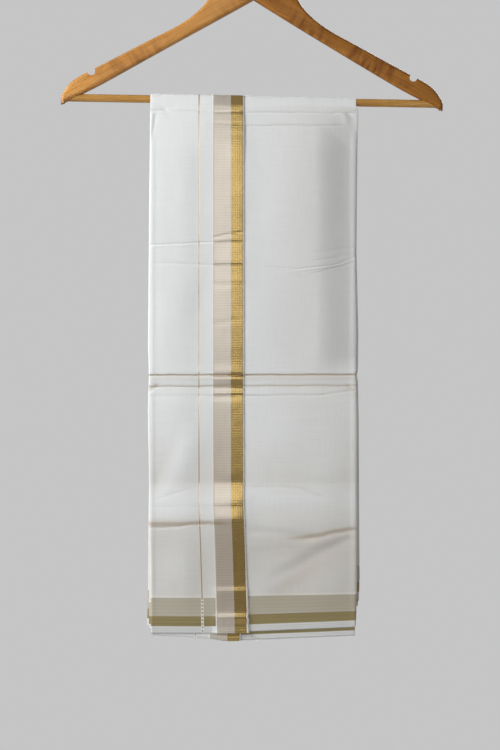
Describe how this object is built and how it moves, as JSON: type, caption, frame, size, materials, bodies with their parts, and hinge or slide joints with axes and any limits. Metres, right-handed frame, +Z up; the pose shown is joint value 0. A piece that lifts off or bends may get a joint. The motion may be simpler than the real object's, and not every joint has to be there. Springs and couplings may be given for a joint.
{
  "type": "folded dhoti cloth on a wooden coat hanger",
  "caption": "White cotton dhoti with gold zari borders, folded to a narrow packet and hung over the bar of a wooden hanger with a wire hook.",
  "frame": {"origin": "inside of the hook's top, where the hanger hangs on a rail or peg", "axes": "+Z up, +X to the viewer's right, front of the packet towards -Y"},
  "size_m": [0.4451, 0.0256, 0.8676],
  "materials": {
    "varnished_wood": "honey-brown hardwood under clear satin varnish, grain along each arm",
    "bar_wood": "pale turned hardwood dowel, lightly varnished",
    "hook_wire": "bent round steel wire, nickel plated",
    "dhoti_cotton": "plain woven fine white cotton with grey-green and gold zari borders, pressed and starched"
  },
  "bodies": {
    "root": {"arm_left": "varnished_wood", "arm_right": "varnished_wood", "trouser_bar": "bar_wood", "hook": "hook_wire", "inner_folds": "dhoti_cotton", "main_panel": "dhoti_cotton", "turned_under_panel": "dhoti_cotton", "turned_panel": "dhoti_cotton"}
  },
  "joints": []
}
